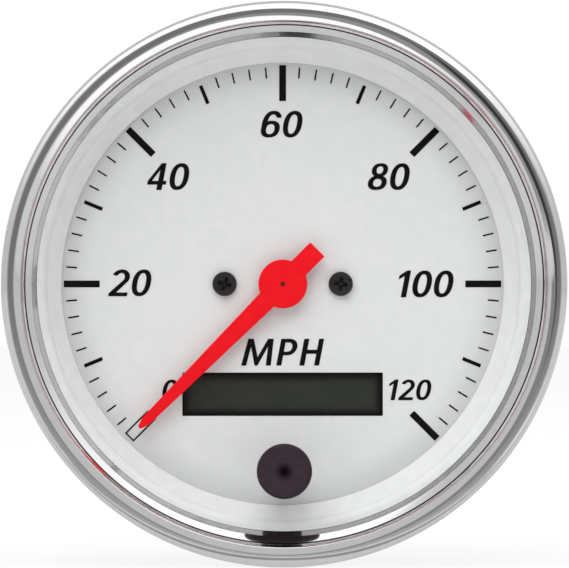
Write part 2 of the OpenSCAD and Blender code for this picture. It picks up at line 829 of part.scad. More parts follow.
module inner_frame()
    color("#eceded")
    difference() {
        union() {
            rod(frame_r, dial_back, frame_back);
            tube(frame_r, frame_r - frame_rim_t, dial_back, frame_rim_back);
            four_posts() rod(post_r, dial_back, board_y);
            both_sides(display_screw_x) rod(display_boss_r, dial_back, display_y, 0, display_screw_z);
        }
        rod(hub_tube_r + 4 * slack, dial_back - past, frame_back + past);
        both_sides(screw_x) rod(screw_r + hole_gap, dial_back - past, frame_back + past);
        rod(stem_hole_r, dial_back - past, frame_back + past, 0, -button_drop);
        slab(dial_back - past, frame_back + past)
            translate([0, -window_drop]) square([cell_w + 4 * slack, cell_h + 4 * slack], center = true);
        both_sides(display_screw_x)
            rod(display_screw_r + thread_gap, frame_back + 5 * slack, display_y + past, 0, display_screw_z);
        four_posts() rod(case_screw_r + thread_gap, board_y - thread_depth - 5 * slack, board_y + past);
        both_sides(lamp_x) rod(lamp_window_r, dial_back - past, frame_back + past, 0, lamp_rise);
    }

module bobbin_front()
    color("#e9e6dc")
    difference() {
        union() {
            slab(frame_back, plate_back) round_patch(2 * (screw_x + boss_r + 3 * slack), 2 * core_half, boss_r);
            rod(hub_tube_r, plate_back - slack, core_front + slack);
            both_sides(screw_x) rod(boss_r, plate_back - slack, boss_back);
            block([-core_half, core_front, -core_half], [core_half, core_mid, core_half]);
        }
        rod(bearing_r, frame_back - past, core_mid);
        rod(cavity_r, core_mid - cavity_len / 2, core_mid + past);
        both_sides(screw_x) rod(screw_r + thread_gap, frame_back - past, boss_back - 6 * slack);
    }

module bobbin_rear()
    color("#dedace")
    difference() {
        union() {
            block([-core_half, core_mid, -core_half], [core_half, core_back, core_half]);
            rod(hub_tube_r, core_back - slack, rear_plate + slack);
            rod(shield_in - hole_gap, rear_plate, rear_plate_back);
        }
        rod(cavity_r, core_mid - past, core_mid + cavity_len / 2);
        rod(bearing_r, core_mid, rear_plate);
        for (x = [-1, 1], z = [-1, 1])
            rod(pin_r + thread_gap, rear_plate - past, rear_plate_back + past, x * pin_at, z * pin_at);
    }

// Two bands of winding, drawn as [across, y], one each side of the spindle
module winding_bands(half_w, y0, y1, half_core, c0, c1)
    for (side = [-1, 1])
        translate([0, 0, side > 0 ? coil_split : -coil_split - coil_band])
            linear_extrude(coil_band)
            difference() {
                patch([-half_w, y0], [half_w, y1]);
                patch([-half_core, c0], [half_core, c1]);
            }

module coil_inner()
    color("#b5652a")
    rotate([0, 90, 0])
    winding_bands(core_half + coil_gap + winding_t, inner_front, inner_back,
        core_half + coil_gap, core_front - coil_gap, core_back + coil_gap);

module coil_outer()
    color("#c47a3a")
    winding_bands(core_half + coil_gap + winding_t, outer_front, outer_back,
        core_half + coil_gap, inner_front - coil_gap, inner_back + coil_gap);

module movement_shield()
    color("#8a8d90")
    difference() {
        rod(shield_r, plate_back, shield_back);
        rod(shield_in, plate_back - past, shield_back - shield_t);
        rod(pin_at * 2, shield_back - shield_t - past, shield_back + past);
    }

module movement_pins()
    color("#c9a84a")
    for (x = [-1, 1], z = [-1, 1]) rod(pin_r, rear_plate, board_back + pin_out, x * pin_at, z * pin_at);

module case_profile() {
    patch([case_in, flange_y], [flange_r, lip_y]);
    difference() {
        union() {
            patch([0, flange_y], [case_r, case_depth - case_edge_r]);
            patch([0, flange_y], [case_r - case_edge_r, case_depth]);
            translate([case_r - case_edge_r, case_depth - case_edge_r]) circle(r = case_edge_r);
        }
        inner_edge = case_edge_r - case_wall;
        patch([-past, flange_y - past], [case_in, back_in - inner_edge]);
        patch([-past, flange_y - past], [case_in - inner_edge, back_in]);
        translate([case_in - inner_edge, back_in - inner_edge]) circle(r = inner_edge);
    }
}

module lamp_hole_outline(extra) {
    circle(r = lamp_barrel_r + extra);
    square([lamp_lug_w + 2 * extra, 2 * (lamp_barrel_r + lamp_lug_out + extra)], center = true);
}

module case_can()
    color("#1b1b1d")
    difference() {
        lathe() case_profile();
        both_sides(stud_x) rod(stud_r + hole_gap, back_in - past, case_depth + past);
        four_posts() rod(case_screw_r + hole_gap, back_in - past, case_depth + past);
        both_sides(lamp_x) translate([0, 0, lamp_rise])
            slab(back_in - past, case_depth + past) lamp_hole_outline(hole_gap);
        slab(back_in - past, case_depth + past)
            translate([0, -blade_drop]) square([opening_w, opening_h], center = true);
    }

module main_board()
    color("#1f6b3a")
    difference() {
        rod(board_r, board_y, board_back);
        four_posts() rod(case_screw_r + hole_gap, board_y - past, board_back + past);
        both_sides(lamp_x) rod(lamp_window_r, board_y - past, board_back + past, 0, lamp_rise);
        for (x = [-1, 1], z = [-1, 1])
            rod(pin_r + slack, board_y - past, board_back + past, x * pin_at, z * pin_at);
        slab(board_y - past, board_back + past)
            blade_places() square([blade_t + 2 * slack, tail_width + 2 * slack], center = true);
    }

module blade_places()
    for (i = [0 : blade_count - 1]) translate([(i - (blade_count - 1) / 2) * blade_pitch, -blade_drop]) children();

module driver_chip()
    color("#202022")
    translate([-chip_x, 0, 0]) block([-chip_w / 2, board_back, -chip_l / 2], [chip_w / 2, board_back + chip_t, chip_l / 2]);

module capacitors()
    color("#2a3350")
    both_sides(capacitor_x) rod(capacitor_d / 2, board_back, tall_back, 0, capacitor_z);

module voltage_regulator() {
    tab_x = regulator_x + regulator_t;
    color("#2c2c2e")
    translate([0, 0, -regulator_w / 2]) {
        block([regulator_x, board_back, 0], [tab_x, tall_back - regulator_shoulder, regulator_w]);
        block([tab_x, board_back, 0], [tab_x + regulator_tab_t, tall_back, regulator_w]);
    }
}

module board_standoffs()
    color("#c8a951")
    four_posts() tube(standoff_r, case_screw_r + hole_gap, board_back, back_in);

module case_screws()
    color("#a5a8ab")
    four_posts() {
        mirror([0, 1, 0]) crosshead(case_screw_head_r, case_screw_head_h, -case_depth);
        rod(case_screw_r, board_y - thread_depth, case_depth + slack);
    }

module lamp_holder() {
    color("#26262a")
    difference() {
        union() {
            rod(lamp_barrel_r, back_in - lamp_depth, case_depth + slack);
            rod(lamp_flange_r, case_depth, case_depth + lamp_flange_t);
            slab(case_depth + lamp_flange_t - slack, case_depth + lamp_flange_t + lamp_grip_h)
                square([lamp_grip_t, 2 * lamp_barrel_r + lamp_flange_w], center = true);
            slab(back_in - slack - lamp_lug_t, back_in - slack)
                square([2 * (lamp_barrel_r + lamp_lug_out), lamp_lug_w], center = true);
        }
        rod(bulb_neck_r + slack, back_in - lamp_depth - past, back_in - bulb_seat + past);
    }
}

module bulb() {
    holder_front = back_in - lamp_depth;
    front = holder_front - bulb_len;
    color("#fff3c8") {
        rod(bulb_neck_r, holder_front - bulb_seat, back_in - bulb_seat);
        rod(bulb_r, front + bulb_r, holder_front - 10 * slack);
        translate([0, front + bulb_r, 0]) sphere(r = bulb_r);
    }
}

module left_lamp_holder() translate([-lamp_x, 0, lamp_rise]) lamp_holder();
module left_bulb() translate([-lamp_x, 0, lamp_rise]) bulb();
module right_lamp_holder() translate([lamp_x, 0, lamp_rise]) lamp_holder();
module right_bulb() translate([lamp_x, 0, lamp_rise]) bulb();

module terminal_block()
    color("#2a2a2c")
    slab(case_depth, block_back)
    difference() {
        translate([0, -blade_drop]) round_patch(block_w, block_h, block_edge_r);
        blade_places() square([blade_t + 2 * blade_slot, blade_w + 2 * blade_slot], center = true);
    }

module blade_terminals()
    color("#d3d0c6")
    for (i = [0 : blade_count - 1])
        translate([(i - (blade_count - 1) / 2) * blade_pitch - blade_t / 2, 0, -blade_drop])
            rotate([90, 0, 90])
            linear_extrude(blade_t)
            difference() {
                polygon([[blade_shoulder, -blade_w / 2], [blade_back - blade_chamfer, -blade_w / 2],
                    [blade_back, -blade_w / 2 + blade_chamfer], [blade_back, blade_w / 2 - blade_chamfer],
                    [blade_back - blade_chamfer, blade_w / 2], [blade_shoulder, blade_w / 2],
                    [blade_shoulder, tail_width / 2], [board_y - tail_out, tail_width / 2],
                    [board_y - tail_out, -tail_width / 2], [blade_shoulder, -tail_width / 2]]);
                translate([blade_back - blade_hole_inset, 0]) circle(r = blade_hole_r);
            }

module mounting_studs()
    color("#b9bcbf")
    both_sides(stud_x) {
        rod(stud_head_r, back_in - stud_head_t, back_in);
        rod(stud_r, back_in - slack, case_depth + stud_len);
    }

// The strap's side view, drawn as [x, y]
module strap_outline() {
    out = leg_in + strap_t;
    difference() {
        union() {
            patch([-out, panel_t], [out, web_back - bend_r]);
            patch([-out + bend_r, panel_t], [out - bend_r, web_back]);
            for (side = [-1, 1]) translate([side * (out - bend_r), web_back - bend_r]) circle(r = bend_r);
        }
        inner_r = bend_r - strap_t;
        patch([-leg_in, panel_t - past], [leg_in, web_front - inner_r]);
        patch([-leg_in + inner_r, panel_t - past], [leg_in - inner_r, web_front]);
        for (side = [-1, 1]) translate([side * (leg_in - inner_r), web_front - inner_r]) circle(r = inner_r);
    }
}

module clamp_bracket()
    color("#9a9da0")
    difference() {
        translate([0, 0, -strap_w / 2]) linear_extrude(strap_w) strap_outline();
        both_sides(stud_x) rod(stud_r + edge_gap, web_front - past, web_back + past);
    }

module lock_washers()
    color("#8c8f92")
    both_sides(stud_x)
    difference() {
        tube(washer_r, stud_r + edge_gap, web_back, washer_back);
        rotate([0, 35, 0])
            block([0, web_back - past, -washer_split / 2], [washer_r + past, washer_back + past, washer_split / 2]);
    }

module nut()
    color("#c2a24c")
    difference() {
        translate([0, washer_back, 0]) rotate([-90, 0, 0]) cylinder(r = nut_af / 2 / cos(30), h = nut_h, $fn = 6);
        rod(stud_r + nut_gap, washer_back - past, nut_back + past);
    }

module left_nut() translate([-stud_x, 0, 0]) nut();
module right_nut() translate([stud_x, 0, 0]) nut();

bezel();
lens();
lens_gasket();
spacer_ring();
dial_plate();
scale_marks();
numerals();
unit_legend();
window_border();
dial_screws();
pointer();
pointer_bush();
spindle();
magnet_rotor();
trip_button();
stem_clip();
switch_plunger();
trip_spring();
trip_switch();
lcd_cell();
lcd_backlight();
lcd_connectors();
display_board();
display_screws();
display_cable();
inner_frame();
bobbin_front();
bobbin_rear();
coil_inner();
coil_outer();
movement_shield();
movement_pins();
case_can();
main_board();
driver_chip();
capacitors();
voltage_regulator();
board_standoffs();
case_screws();
left_lamp_holder();
left_bulb();
right_lamp_holder();
right_bulb();
terminal_block();
blade_terminals();
mounting_studs();
clamp_bracket();
lock_washers();
left_nut();
right_nut();
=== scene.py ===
import math

import bmesh
import bpy
from mathutils import Matrix, Vector


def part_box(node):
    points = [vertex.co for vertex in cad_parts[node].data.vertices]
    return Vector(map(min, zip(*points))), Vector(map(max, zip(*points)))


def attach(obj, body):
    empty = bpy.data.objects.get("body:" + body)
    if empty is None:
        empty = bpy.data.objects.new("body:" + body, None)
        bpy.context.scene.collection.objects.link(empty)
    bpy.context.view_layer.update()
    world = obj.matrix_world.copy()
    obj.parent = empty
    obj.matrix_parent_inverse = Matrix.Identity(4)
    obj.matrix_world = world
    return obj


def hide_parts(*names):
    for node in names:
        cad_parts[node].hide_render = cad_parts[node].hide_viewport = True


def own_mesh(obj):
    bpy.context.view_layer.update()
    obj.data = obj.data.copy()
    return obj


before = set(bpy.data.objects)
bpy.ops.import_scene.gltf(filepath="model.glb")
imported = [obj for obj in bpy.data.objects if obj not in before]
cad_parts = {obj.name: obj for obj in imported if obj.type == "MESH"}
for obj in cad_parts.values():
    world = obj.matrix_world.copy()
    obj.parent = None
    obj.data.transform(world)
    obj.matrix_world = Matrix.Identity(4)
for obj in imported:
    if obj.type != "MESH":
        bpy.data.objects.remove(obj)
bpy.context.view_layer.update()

# Case can: a steel cup drawn in one piece with its front flange, painted satin black inside and out.
# The back is pierced for the studs, screws, lamps and terminals. The dash grips it by its barrel.
MM = 0.001


class Wire:
    """A socket in a node tree. Arithmetic on it adds Math nodes, and node() adds any other kind."""

    def __init__(self, tree, socket=None):
        self.tree, self.socket = tree, socket

    def node(self, kind, settings=None, values=None, out=0):
        made = self.tree.nodes.new(kind)
        for name, value in (settings or {}).items():
            setattr(made, name, value)
        for key, value in (values or {}).items():
            for part in value if isinstance(value, list) else [value]:
                if isinstance(part, Wire):
                    self.tree.links.new(part.socket, made.inputs[key])
                else:
                    made.inputs[key].default_value = part
        return Wire(self.tree, made.outputs[out])

    def math(self, operation, first, second=0.0):
        return self.node("ShaderNodeMath", {"operation": operation}, {0: first, 1: second})

    def __add__(self, other):
        return self.math("ADD", self, other)

    def __radd__(self, other):
        return self.math("ADD", other, self)

    def __sub__(self, other):
        return self.math("SUBTRACT", self, other)

    def __rsub__(self, other):
        return self.math("SUBTRACT", other, self)

    def __mul__(self, other):
        return self.math("MULTIPLY", self, other)

    def __rmul__(self, other):
        return self.math("MULTIPLY", other, self)

    def __truediv__(self, other):
        return self.math("DIVIDE", self, other)

    def step(self, low, high):
        """Rises smoothly from 0 at low to 1 at high."""
        return self.node("ShaderNodeMapRange", {"interpolation_type": "SMOOTHSTEP"},
                         {"Value": self, "From Min": low, "From Max": high})


class Finish(Wire):
    """A material. What is the same all over is set on the shader's own sockets, by their names."""

    def __init__(self, name, fixed):
        self.material = bpy.data.materials.new(name)
        self.material.use_nodes = True
        super().__init__(self.material.node_tree)
        self.shader = self.tree.nodes["Principled BSDF"]
        self.plain = Wire(self.tree, self.shader.outputs[0])
        for socket, value in fixed.items():
            self.shader.inputs[socket].default_value = value

    def place(self, centre=(0, 0, 0), scale=(1, 1, 1), turn=(0, 0, 0)):
        """Where a point of the piece is, in mm from centre."""
        point = self.node("ShaderNodeTexCoord", out="Object")
        return self.node("ShaderNodeMapping", {"vector_type": "TEXTURE"},
                         {"Vector": point, "Location": tuple(c * MM for c in centre), "Rotation": turn,
                          "Scale": tuple(MM / s for s in scale)})

    def axes(self, place):
        """The three coordinates of a place in mm: across, into the part and up."""
        return [self.node("ShaderNodeSeparateXYZ", None, {"Vector": place}, out=axis) for axis in range(3)]

    def grain(self, size, place):
        """Cloudy noise from 0 to 1 with features of about this size in mm."""
        return self.node("ShaderNodeTexNoise", None,
                         {"Vector": place, "Scale": 1 / size, "Detail": 3.0}).step(0.3, 0.7)

    def between(self, mask, first, second):
        """One colour where mask is 0, another where it is 1."""
        ends = [c if isinstance(c, Wire) else (*c, 1) for c in (first, second)]
        return self.node("ShaderNodeMix", {"data_type": "RGBA"}, {0: mask, 6: ends[0], 7: ends[1]}, out=2)

    def feed(self, **wires):
        for socket, wire in wires.items():
            self.tree.links.new(wire.socket, self.shader.inputs[socket.replace("_", " ")])
        return self.material

    def relief(self, height, depth):
        """Bump of this depth in mm."""
        return self.node("ShaderNodeBump", None, {"Height": height, "Distance": depth * MM})

    def surface(self, first, second, mask):
        """Shows one shader where mask is 0 and another where it is 1."""
        mixed = self.node("ShaderNodeMixShader", None, {0: mask, 1: first, 2: second})
        self.tree.links.new(mixed.socket, self.tree.nodes["Material Output"].inputs["Surface"])


def grained(name, colours, roughs, size, depth=0.0, fixed=None, scale=(1, 1, 1)):
    """A finish whose colour and roughness drift between two values, with a fine bump."""
    finish = Finish(name, fixed or {})
    place = finish.place(scale=scale)
    patches, fine = finish.grain(size * 6, place), finish.grain(size, place)
    wires = {"Base_Color": finish.between(patches * 0.7 + fine * 0.3, *colours),
             "Roughness": roughs[0] + (roughs[1] - roughs[0]) * patches}
    if depth:
        wires["Normal"] = finish.relief(fine, depth)
    return finish.feed(**wires)


def coat(node, finish):
    """Gives a CAD node its finish and leaves its shape alone."""
    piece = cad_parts[node]
    for place in piece.material_slots:
        place.material = finish


def edge_shading(mesh, angle):
    """Smooth shading with sharp edges where two faces meet at more than this angle in degrees."""
    form = bmesh.new()
    form.from_mesh(mesh)
    for face in form.faces:
        face.smooth = True
    for edge in form.edges:
        edge.smooth = edge.is_manifold and edge.calc_face_angle(0) < math.radians(angle)
    form.to_mesh(mesh)
    form.free()


def put(name, mesh, finish, body, nodes, bevel=0.0):
    """Sets a finished mesh in the scene, on its body and in the place of its CAD nodes."""
    mesh.name = name
    mesh.materials.clear()
    mesh.materials.append(finish)
    piece = bpy.data.objects.new(name, mesh)
    bpy.context.scene.collection.objects.link(piece)
    if bevel:
        edges = piece.modifiers.new("Edges", "BEVEL")
        edges.width, edges.segments, edges.harden_normals = bevel * MM, 2, True
        edges.limit_method, edges.angle_limit = "ANGLE", math.radians(50)
    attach(piece, body)
    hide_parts(*nodes)
    return piece


def smooth_copy(name, node, finish, body, bevel=0.0, angle=32):
    """A CAD solid, merged and shaded as the turned or pressed piece that it is."""
    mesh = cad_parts[node].data.copy()
    form = bmesh.new()
    form.from_mesh(mesh)
    bmesh.ops.remove_doubles(form, verts=form.verts, dist=0.002 * MM)
    bmesh.ops.dissolve_limit(form, angle_limit=math.radians(0.2), verts=form.verts, edges=form.edges)
    form.to_mesh(mesh)
    form.free()
    edge_shading(mesh, angle)
    return put(name, mesh, finish, body, [node], bevel)


case_paint = grained("satin black paint", [(0.006, 0.006, 0.007), (0.014, 0.014, 0.015)], [0.34, 0.5],
                     0.45, 0.012, {"Specular IOR Level": 0.45})
smooth_copy("case_cup", "case_can", case_paint, "gauge")

# Inner frame: a white moulding behind the dial, with a rim, four posts to the back of the case and
# two bosses for the display. It carries the dial, the movement and the boards.
frame_plastic = grained("white moulding", [(0.62, 0.62, 0.6), (0.7, 0.7, 0.69)], [0.42, 0.52], 0.5, 0.006)
smooth_copy("frame_moulding", "inner_frame", frame_plastic, "gauge", 0.15)

# Movement: two cream bobbin halves hold the crossed windings, and the magnet turns between them on
# its spindle. A steel cup screens it, and four brass pins join it to the main board.
bobbin_plastic = grained("cream bobbin moulding", [(0.66, 0.6, 0.47), (0.74, 0.69, 0.56)], [0.38, 0.5],
                         0.5, 0.005)
drawn_steel = grained("drawn steel", [(0.36, 0.36, 0.37), (0.46, 0.46, 0.47)], [0.24, 0.36], 0.25, 0.002,
                      {"Metallic": 1.0}, (1, 0.2, 1))
dark_steel = grained("blackened steel", [(0.02, 0.018, 0.018), (0.045, 0.04, 0.04)], [0.3, 0.42], 0.12, 0.001,
                     {"Metallic": 0.6})
turned_brass = grained("turned brass", [(0.62, 0.42, 0.14), (0.74, 0.53, 0.2)], [0.2, 0.32], 0.2, 0.002,
                       {"Metallic": 1.0}, (1, 6, 1))
sintered_magnet = grained("sintered magnet", [(0.05, 0.05, 0.055), (0.09, 0.09, 0.095)], [0.42, 0.6],
                          0.2, 0.008, {"Metallic": 0.5})
for name, node, finish, body, slot, bevel in (
        ("bobbin_front_half", "bobbin_front", bobbin_plastic, "gauge", "bobbin_plastic", 0.15),
        ("bobbin_rear_half", "bobbin_rear", bobbin_plastic, "gauge", "bobbin_plastic", 0.15),
        ("shield_cup", "movement_shield", drawn_steel, "gauge", "steel", 0.2),
        ("contact_pins", "movement_pins", turned_brass, "gauge", "brass", 0.08),
        ("rotor_magnet", "magnet_rotor", sintered_magnet, "pointer_assembly", "magnet", 0.25),
        ("pointer_spindle", "spindle", dark_steel, "pointer_assembly", "steel", 0.03),
        ("hub_bush", "pointer_bush", turned_brass, "pointer_assembly", "brass", 0.08)):
    smooth_copy(name, node, finish, body, bevel)


def new_tree(name, inputs):
    """An empty tree for a modifier, with its named inputs. Returns its start and its output node."""
    tree = bpy.data.node_groups.new(name, "GeometryNodeTree")
    tree.interface.new_socket("Geometry", in_out="INPUT", socket_type="NodeSocketGeometry")
    tree.interface.new_socket("Geometry", in_out="OUTPUT", socket_type="NodeSocketGeometry")
    for label, kind in inputs.items():
        tree.interface.new_socket(label, in_out="INPUT", socket_type="NodeSocket" + kind)
    entry = tree.nodes.new("NodeGroupInput")
    wires = {socket.name: Wire(tree, socket) for socket in entry.outputs if socket.name}
    return tree, Wire(tree), wires


def end_tree(made, finish):
    """Closes a tree: instances made real, and the finish set."""
    real = made.node("GeometryNodeRealizeInstances", None, {"Geometry": made})
    dressed = made.node("GeometryNodeSetMaterial", None, {"Geometry": real, "Material": finish})
    exit_node = made.tree.nodes.new("NodeGroupOutput")
    made.tree.links.new(dressed.socket, exit_node.inputs[0])


def grown(tree, values, base=None, angle=35):
    """The plain mesh that a tree makes from these named values and a base mesh."""
    seed = bpy.data.objects.new("seed", base or bpy.data.meshes.new("seed"))
    bpy.context.scene.collection.objects.link(seed)
    grow = seed.modifiers.new("Grow", "NODES")
    grow.node_group = tree
    for item in tree.interface.items_tree:
        if item.in_out == "INPUT" and item.name in values:
            grow[item.identifier] = values[item.name]
    shape = seed.evaluated_get(bpy.context.evaluated_depsgraph_get())
    mesh = bpy.data.meshes.new_from_object(shape)
    bpy.data.objects.remove(seed)
    form = bmesh.new()
    form.from_mesh(mesh)
    bmesh.ops.remove_doubles(form, verts=form.verts, dist=0.001 * MM)
    bmesh.ops.recalc_face_normals(form, faces=form.faces)
    form.to_mesh(mesh)
    form.free()
    edge_shading(mesh, angle)
    return mesh


# Windings: enamelled wire laid turn by turn over the bobbin in four bands, one each side of the
# spindle in both directions. Each band is one wire that goes to and fro across it in four layers.
WIRE_D = 0.24
WIRE_TURNS = 17
WIRE_LAYERS = 4
TURN_POINTS = 28
TURN_SQUARENESS = 0.36
BAND_HALF_W = 8.35
BAND_START = 2.22
MOVEMENT_Y = 14.75

winding_tree, start, given = new_tree("Winding", {
    "Half Width": "Float", "Half Length": "Float", "Middle": "Float", "Band Start": "Float",
    "Wire": "Float", "Turns": "Int", "Layers": "Int", "Points": "Int", "Side": "Float", "Finish": "Material"})
turn = start.node("GeometryNodeInputIndex") / given["Points"]
layer = start.math("FLOOR", turn / given["Turns"])
across = start.math("PINGPONG", turn, given["Turns"]) * given["Wire"] + given["Band Start"]
around = turn * math.tau
lean = [start.math("SIGN", start.math(wave, around)) *
        start.math("POWER", start.math("ABSOLUTE", start.math(wave, around)), TURN_SQUARENESS)
        for wave in ("COSINE", "SINE")]
inset = layer * given["Wire"]
track = start.node("ShaderNodeCombineXYZ", None, {
    "X": lean[0] * (given["Half Width"] - inset),
    "Y": given["Middle"] + lean[1] * (given["Half Length"] - inset),
    "Z": across * given["Side"]})
line = start.node("GeometryNodeMeshLine", None, {"Count": given["Points"] * given["Turns"] * given["Layers"]})
laid = start.node("GeometryNodeSetPosition", None, {"Geometry": line, "Position": track})
round_wire = start.node("GeometryNodeCurvePrimitiveCircle", None, {
    "Resolution": 6, "Radius": given["Wire"] * 0.5})
end_tree(start.node("GeometryNodeCurveToMesh", None, {
    "Curve": start.node("GeometryNodeMeshToCurve", None, {"Mesh": laid}), "Profile Curve": round_wire,
    "Fill Caps": True}), given["Finish"])

copper = grained("enamelled copper", [(0.42, 0.13, 0.035), (0.62, 0.24, 0.07)], [0.2, 0.34], 0.3, 0.001,
                 {"Metallic": 1.0, "Coat Weight": 0.4})
for name, node, half_length, turned_over in (("outer_windings", "coil_outer", 8.7, False),
                                             ("inner_windings", "coil_inner", 7.35, True)):
    bands = bmesh.new()
    for side in (-1.0, 1.0):
        bands.from_mesh(grown(winding_tree, {
            "Half Width": (BAND_HALF_W - WIRE_D / 2) * MM, "Half Length": (half_length - WIRE_D / 2) * MM,
            "Middle": MOVEMENT_Y * MM, "Band Start": BAND_START * MM, "Wire": WIRE_D * MM,
            "Turns": WIRE_TURNS, "Layers": WIRE_LAYERS, "Points": TURN_POINTS, "Side": side,
            "Finish": copper}, angle=80))
    mesh = bpy.data.meshes.new(name)
    if turned_over:
        bmesh.ops.rotate(bands, verts=bands.verts, matrix=Matrix.Rotation(math.pi / 2, 3, "Y"))
    bands.to_mesh(mesh)
    bands.free()
    put(name, mesh, copper, "gauge", [node])

# Boards: green glass-fibre laminate with copper tracks under the solder mask. The front one carries
# the display and the switch, the rear one the driver, the regulator and two capacitors.


def board_finish(name, turn):
    """Green solder mask with lighter tracks under it and tinned pads."""
    finish = Finish(name, {"Coat Weight": 0.3, "Coat Roughness": 0.2})
    place = finish.place(turn=turn)
    tracks = finish.node("ShaderNodeTexBrick", {"offset": 0.37, "squash": 0.6},
                         {"Vector": place, "Scale": 0.22, "Mortar Size": 0.03, "Mortar Smooth": 0.1}, out=1)
    pads = 1 - finish.node("ShaderNodeTexVoronoi", None,
                           {"Vector": place, "Scale": 0.3, "Randomness": 0.55}).step(0.1, 0.13)
    fine = finish.grain(0.4, place)
    mask = finish.between(fine, (0.008, 0.09, 0.03), (0.014, 0.13, 0.045))
    board = finish.between(tracks, mask, (0.02, 0.2, 0.07))
    return finish.feed(Base_Color=finish.between(pads, board, (0.6, 0.6, 0.58)), Metallic=pads,
                       Roughness=0.42 - 0.12 * pads, Normal=finish.relief(tracks + pads, 0.03))


board_mask = board_finish("solder mask over tracks", (math.pi / 2, 0, 0))
black_plastic = grained("black moulding", [(0.01, 0.01, 0.011), (0.022, 0.022, 0.024)], [0.4, 0.55],
                        0.3, 0.008)
sleeve = grained("capacitor sleeve", [(0.008, 0.012, 0.04), (0.014, 0.02, 0.06)], [0.22, 0.34], 0.6, 0.002,
                 {"Coat Weight": 0.3})
light_guide = grained("light guide", [(0.62, 0.74, 0.58), (0.7, 0.8, 0.66)], [0.25, 0.4], 0.8, 0.004)
rubber = grained("black rubber", [(0.012, 0.012, 0.012), (0.024, 0.023, 0.023)], [0.6, 0.75], 0.25, 0.012)
striped_rubber = grained("striped contact rubber", [(0.05, 0.01, 0.02), (0.62, 0.2, 0.32)], [0.5, 0.65],
                         0.1, 0.004, scale=(1, 0.05, 1))
cable_film = grained("cable film", [(0.5, 0.36, 0.14), (0.62, 0.5, 0.26)], [0.3, 0.42], 0.25, 0.003,
                     scale=(3, 0.1, 1))
for name, node, finish, slot, bevel in (
        ("front_board", "display_board", board_mask, "circuit_board", 0.05),
        ("rear_board", "main_board", board_mask, "circuit_board", 0.05),
        ("driver_package", "driver_chip", black_plastic, "black_plastic", 0.2),
        ("regulator_package", "voltage_regulator", black_plastic, "black_plastic", 0.2),
        ("capacitor_cans", "capacitors", sleeve, "capacitor_sleeve", 0.6),
        ("brass_standoffs", "board_standoffs", turned_brass, "brass", 0.15),
        ("light_plate", "lcd_backlight", light_guide, "light_guide", 0.2),
        ("contact_strips", "lcd_connectors", striped_rubber, "connector_rubber", 0.1),
        ("ribbon_cable", "display_cable", cable_film, "cable_film", 0.1),
        ("switch_case", "trip_switch", black_plastic, "black_plastic", 0.2),
        ("rubber_gasket", "lens_gasket", rubber, "gasket_rubber", 0.1)):
    smooth_copy(name, node, finish, "gauge", bevel)

# Display: a liquid-crystal cell behind the dial's window, switched off, so that it shows only the dark
# green-grey of its polariser. Towards its edges it is darkened with painted shade, where the dial's
# window would shade it.
WINDOW_Z = -18.1
WINDOW_HALF_W, WINDOW_HALF_H = 16.2, 3.3

display_glass = Finish("display glass", {
    "Specular IOR Level": 0.12, "Coat Weight": 0.05, "Coat Roughness": 0.05})
place = display_glass.place(centre=(0, 0, WINDOW_Z))
across, _, up = display_glass.axes(place)
# Painted shade: the cell's colour darkens towards the edges of the window.
rim = display_glass.math("MAXIMUM", display_glass.math("ABSOLUTE", across).step(14.6, 16.3),
                         display_glass.math("ABSOLUTE", up).step(1.8, 3.4))
cloud = display_glass.grain(5.0, place)
panel = display_glass.between(cloud, (0.026, 0.03, 0.022), (0.031, 0.032, 0.025))
coat("lcd_cell", display_glass.feed(Base_Color=display_glass.between(rim, panel, (0.009, 0.005, 0.006)),
                                    Roughness=0.3 + 0.08 * cloud))

# Dial: an aluminium plate sprayed satin white, with its scale, numerals and window line printed in
# black ink. The ink lies a hair above the paint. Toward the rim the paint is darkened with painted
# shade, where the spacer ring's edge shades the dial.
dial_paint = Finish("satin white dial paint", {"Specular IOR Level": 0.3})
place = dial_paint.place(centre=(0, 0, WINDOW_Z))
across, _, up = dial_paint.axes(place)
in_window = (1 - dial_paint.math("ABSOLUTE", across).step(WINDOW_HALF_W, WINDOW_HALF_W + 0.02)) * \
    (1 - dial_paint.math("ABSOLUTE", up).step(WINDOW_HALF_H, WINDOW_HALF_H + 0.02))
cloud, fine = dial_paint.grain(1.5, place), dial_paint.grain(0.25, place)
from_hub = dial_paint.math("SQRT", across * across + (up + WINDOW_Z) * (up + WINDOW_Z))
paint = dial_paint.between(cloud, (0.69, 0.69, 0.695), (0.715, 0.712, 0.715))
# Painted shade: the paint darkens toward the rim, where the ring's edge would shade the dial.
paint = dial_paint.between(from_hub.step(30.5, 36.2), paint, (0.578, 0.578, 0.582))
dial_paint.feed(Base_Color=dial_paint.between(in_window, paint, (0.01, 0.008, 0.008)),
                Roughness=0.5 + 0.08 * cloud, Normal=dial_paint.relief(fine, 0.0015))
dial_ink = grained("black dial ink", [(0.002, 0.001, 0.0012), (0.004, 0.002, 0.0025)], [0.5, 0.62],
                   0.12, 0.003, {"Specular IOR Level": 0.1})
coat("dial_plate", dial_paint.material)
for node in ("scale_marks", "numerals", "unit_legend", "window_border"):
    coat(node, dial_ink)


# Screws: pan heads with a tapered cross recess, pressed before the thread is rolled. Two black ones
# hold the dial, two plain ones the front board, and four zinc-plated ones close the case from behind.
def outline_mesh(points, closed=True):
    """A line through (x, y) points in mm."""
    mesh = bpy.data.meshes.new("outline")
    count = len(points)
    mesh.from_pydata([(x * MM, y * MM, 0) for x, y in points],
                     [(i, (i + 1) % count) for i in range(count if closed else count - 1)], [])
    return mesh


def arc(centre, radius, first, last, steps):
    """Points on an arc, by angles in degrees."""
    return [(centre[0] + radius * math.cos(a), centre[1] + radius * math.sin(a))
            for a in (math.radians(first + (last - first) * i / steps) for i in range(steps + 1))]


